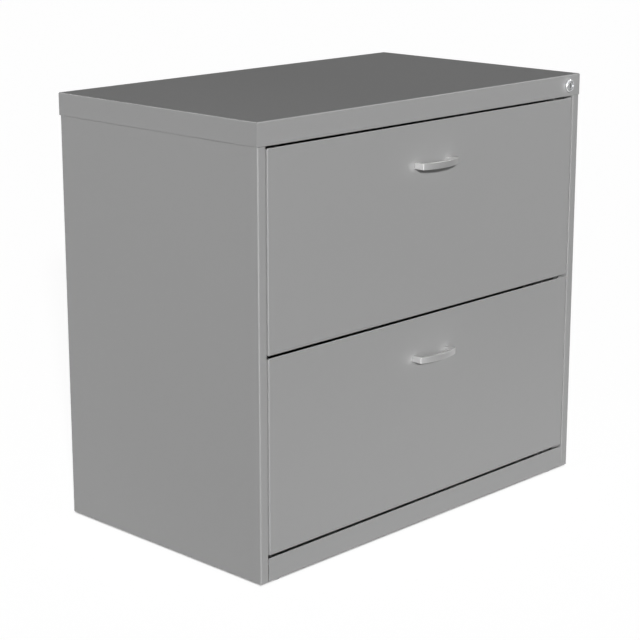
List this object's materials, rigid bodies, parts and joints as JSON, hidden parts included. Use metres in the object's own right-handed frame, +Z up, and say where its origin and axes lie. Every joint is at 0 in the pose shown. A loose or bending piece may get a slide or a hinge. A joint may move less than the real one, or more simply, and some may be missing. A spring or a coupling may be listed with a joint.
{
  "type": "filing cabinet",
  "caption": "Lateral filing cabinet with full-width drawers on ball-bearing slides, bowed pulls, a lock at the top right and levelling glides.",
  "frame": {"origin": "on the floor, under the middle of the footprint with the handles", "axes": "+X to the right seen from the front, +Y to the back, +Z up; drawers open along -Y"},
  "size_m": [0.762, 0.475, 0.7049],
  "materials": {
    "silver_grey_paint": "satin powder coat with a faint orange peel",
    "zinc_plated_steel": "bright zinc plate",
    "satin_nickel": "satin nickel",
    "polished_chrome": "polished",
    "cage_brass": "plain stamped strip",
    "grey_glide_nylon": "matte moulded nylon",
    "primed_ballast_steel": "dark primer"
  },
  "bodies": {
    "root": {"top_panel": "silver_grey_paint", "left_side_panel": "silver_grey_paint", "right_side_panel": "silver_grey_paint", "back_panel": "silver_grey_paint", "header_rail": "silver_grey_paint", "base_front_rail": "silver_grey_paint", "base_rear_rail": "silver_grey_paint", "front_left_upright": "zinc_plated_steel", "rear_left_upright": "zinc_plated_steel", "front_right_upright": "zinc_plated_steel", "rear_right_upright": "zinc_plated_steel", "counterweight": "primed_ballast_steel", "upper_left_slide_outer": "zinc_plated_steel", "upper_right_slide_outer": "zinc_plated_steel", "lower_left_slide_outer": "zinc_plated_steel", "lower_right_slide_outer": "zinc_plated_steel", "lock_housing": "polished_chrome", "lock_nut": "zinc_plated_steel", "upper_bar_guide": "zinc_plated_steel", "lower_bar_guide": "zinc_plated_steel"},
    "lower_drawer": {"lower_drawer_front": "silver_grey_paint", "lower_drawer_body": "silver_grey_paint", "lower_handle": "satin_nickel", "lower_left_handle_screw": "zinc_plated_steel", "lower_right_handle_screw": "zinc_plated_steel", "lower_strike": "zinc_plated_steel", "lower_front_hang_rail": "zinc_plated_steel", "lower_rear_hang_rail": "zinc_plated_steel", "lower_left_slide_inner": "zinc_plated_steel", "lower_right_slide_inner": "zinc_plated_steel"},
    "lower_left_slide_middle": {"lower_left_slide_middle": "zinc_plated_steel"},
    "lower_left_outer_cage": {"lower_left_outer_ball_cage": "cage_brass"},
    "lower_left_inner_cage": {"lower_left_inner_ball_cage": "cage_brass"},
    "lower_right_slide_middle": {"lower_right_slide_middle": "zinc_plated_steel"},
    "lower_right_outer_cage": {"lower_right_outer_ball_cage": "cage_brass"},
    "lower_right_inner_cage": {"lower_right_inner_ball_cage": "cage_brass"},
    "upper_drawer": {"upper_drawer_front": "silver_grey_paint", "upper_drawer_body": "silver_grey_paint", "upper_handle": "satin_nickel", "upper_left_handle_screw": "zinc_plated_steel", "upper_right_handle_screw": "zinc_plated_steel", "upper_strike": "zinc_plated_steel", "upper_front_hang_rail": "zinc_plated_steel", "upper_rear_hang_rail": "zinc_plated_steel", "upper_left_slide_inner": "zinc_plated_steel", "upper_right_slide_inner": "zinc_plated_steel"},
    "upper_left_slide_middle": {"upper_left_slide_middle": "zinc_plated_steel"},
    "upper_left_outer_cage": {"upper_left_outer_ball_cage": "cage_brass"},
    "upper_left_inner_cage": {"upper_left_inner_ball_cage": "cage_brass"},
    "upper_right_slide_middle": {"upper_right_slide_middle": "zinc_plated_steel"},
    "upper_right_outer_cage": {"upper_right_outer_ball_cage": "cage_brass"},
    "upper_right_inner_cage": {"upper_right_inner_ball_cage": "cage_brass"},
    "lock_cylinder": {"lock_plug": "polished_chrome", "lock_cam": "zinc_plated_steel"},
    "lock_bar": {"lock_bar": "zinc_plated_steel"},
    "front_left_glide": {"front_left_glide": "grey_glide_nylon"},
    "front_right_glide": {"front_right_glide": "grey_glide_nylon"},
    "rear_left_glide": {"rear_left_glide": "grey_glide_nylon"},
    "rear_right_glide": {"rear_right_glide": "grey_glide_nylon"}
  },
  "joints": [
    {"name": "lower_drawer_slide", "type": "slide", "parent": "root", "child": "lower_drawer", "axis": [0, -1, 0], "range_m": [0, 0.4]},
    {"name": "lower_left_slide_middle_travel", "type": "slide", "parent": "root", "child": "lower_left_slide_middle", "axis": [0, -1, 0], "range_m": [0, 0.2]},
    {"name": "lower_left_outer_cage_travel", "type": "slide", "parent": "root", "child": "lower_left_outer_cage", "axis": [0, -1, 0], "range_m": [0, 0.1]},
    {"name": "lower_left_inner_cage_travel", "type": "slide", "parent": "root", "child": "lower_left_inner_cage", "axis": [0, -1, 0], "range_m": [0, 0.3]},
    {"name": "lower_right_slide_middle_travel", "type": "slide", "parent": "root", "child": "lower_right_slide_middle", "axis": [0, -1, 0], "range_m": [0, 0.2]},
    {"name": "lower_right_outer_cage_travel", "type": "slide", "parent": "root", "child": "lower_right_outer_cage", "axis": [0, -1, 0], "range_m": [0, 0.1]},
    {"name": "lower_right_inner_cage_travel", "type": "slide", "parent": "root", "child": "lower_right_inner_cage", "axis": [0, -1, 0], "range_m": [0, 0.3]},
    {"name": "upper_drawer_slide", "type": "slide", "parent": "root", "child": "upper_drawer", "axis": [0, -1, 0], "range_m": [0, 0.4]},
    {"name": "upper_left_slide_middle_travel", "type": "slide", "parent": "root", "child": "upper_left_slide_middle", "axis": [0, -1, 0], "range_m": [0, 0.2]},
    {"name": "upper_left_outer_cage_travel", "type": "slide", "parent": "root", "child": "upper_left_outer_cage", "axis": [0, -1, 0], "range_m": [0, 0.1]},
    {"name": "upper_left_inner_cage_travel", "type": "slide", "parent": "root", "child": "upper_left_inner_cage", "axis": [0, -1, 0], "range_m": [0, 0.3]},
    {"name": "upper_right_slide_middle_travel", "type": "slide", "parent": "root", "child": "upper_right_slide_middle", "axis": [0, -1, 0], "range_m": [0, 0.2]},
    {"name": "upper_right_outer_cage_travel", "type": "slide", "parent": "root", "child": "upper_right_outer_cage", "axis": [0, -1, 0], "range_m": [0, 0.1]},
    {"name": "upper_right_inner_cage_travel", "type": "slide", "parent": "root", "child": "upper_right_inner_cage", "axis": [0, -1, 0], "range_m": [0, 0.3]},
    {"name": "lock_turn", "type": "hinge", "parent": "root", "child": "lock_cylinder", "pos_m": [0.35, -0.2105, 0.68685], "axis": [0, -1, 0], "range_deg": [0, 90]},
    {"name": "lock_bar_lift", "type": "slide", "parent": "root", "child": "lock_bar", "axis": [0, 0, 1], "range_m": [0, 0.01]},
    {"name": "front_left_glide_level", "type": "slide", "parent": "root", "child": "front_left_glide", "axis": [0, 0, -1], "range_m": [0, 0.012]},
    {"name": "front_right_glide_level", "type": "slide", "parent": "root", "child": "front_right_glide", "axis": [0, 0, -1], "range_m": [0, 0.012]},
    {"name": "rear_left_glide_level", "type": "slide", "parent": "root", "child": "rear_left_glide", "axis": [0, 0, -1], "range_m": [0, 0.012]},
    {"name": "rear_right_glide_level", "type": "slide", "parent": "root", "child": "rear_right_glide", "axis": [0, 0, -1], "range_m": [0, 0.012]}
  ],
  "couplings": [
    {"joint": "lower_left_slide_middle_travel", "follows": "lower_drawer_slide", "ratio": 0.5},
    {"joint": "lower_left_outer_cage_travel", "follows": "lower_drawer_slide", "ratio": 0.25},
    {"joint": "lower_left_inner_cage_travel", "follows": "lower_drawer_slide", "ratio": 0.75},
    {"joint": "lower_right_slide_middle_travel", "follows": "lower_drawer_slide", "ratio": 0.5},
    {"joint": "lower_right_outer_cage_travel", "follows": "lower_drawer_slide", "ratio": 0.25},
    {"joint": "lower_right_inner_cage_travel", "follows": "lower_drawer_slide", "ratio": 0.75},
    {"joint": "upper_left_slide_middle_travel", "follows": "upper_drawer_slide", "ratio": 0.5},
    {"joint": "upper_left_outer_cage_travel", "follows": "upper_drawer_slide", "ratio": 0.25},
    {"joint": "upper_left_inner_cage_travel", "follows": "upper_drawer_slide", "ratio": 0.75},
    {"joint": "upper_right_slide_middle_travel", "follows": "upper_drawer_slide", "ratio": 0.5},
    {"joint": "upper_right_outer_cage_travel", "follows": "upper_drawer_slide", "ratio": 0.25},
    {"joint": "upper_right_inner_cage_travel", "follows": "upper_drawer_slide", "ratio": 0.75},
    {"joint": "lock_turn", "follows": "lock_bar_lift", "rad_per_m": 157.07}
  ]
}
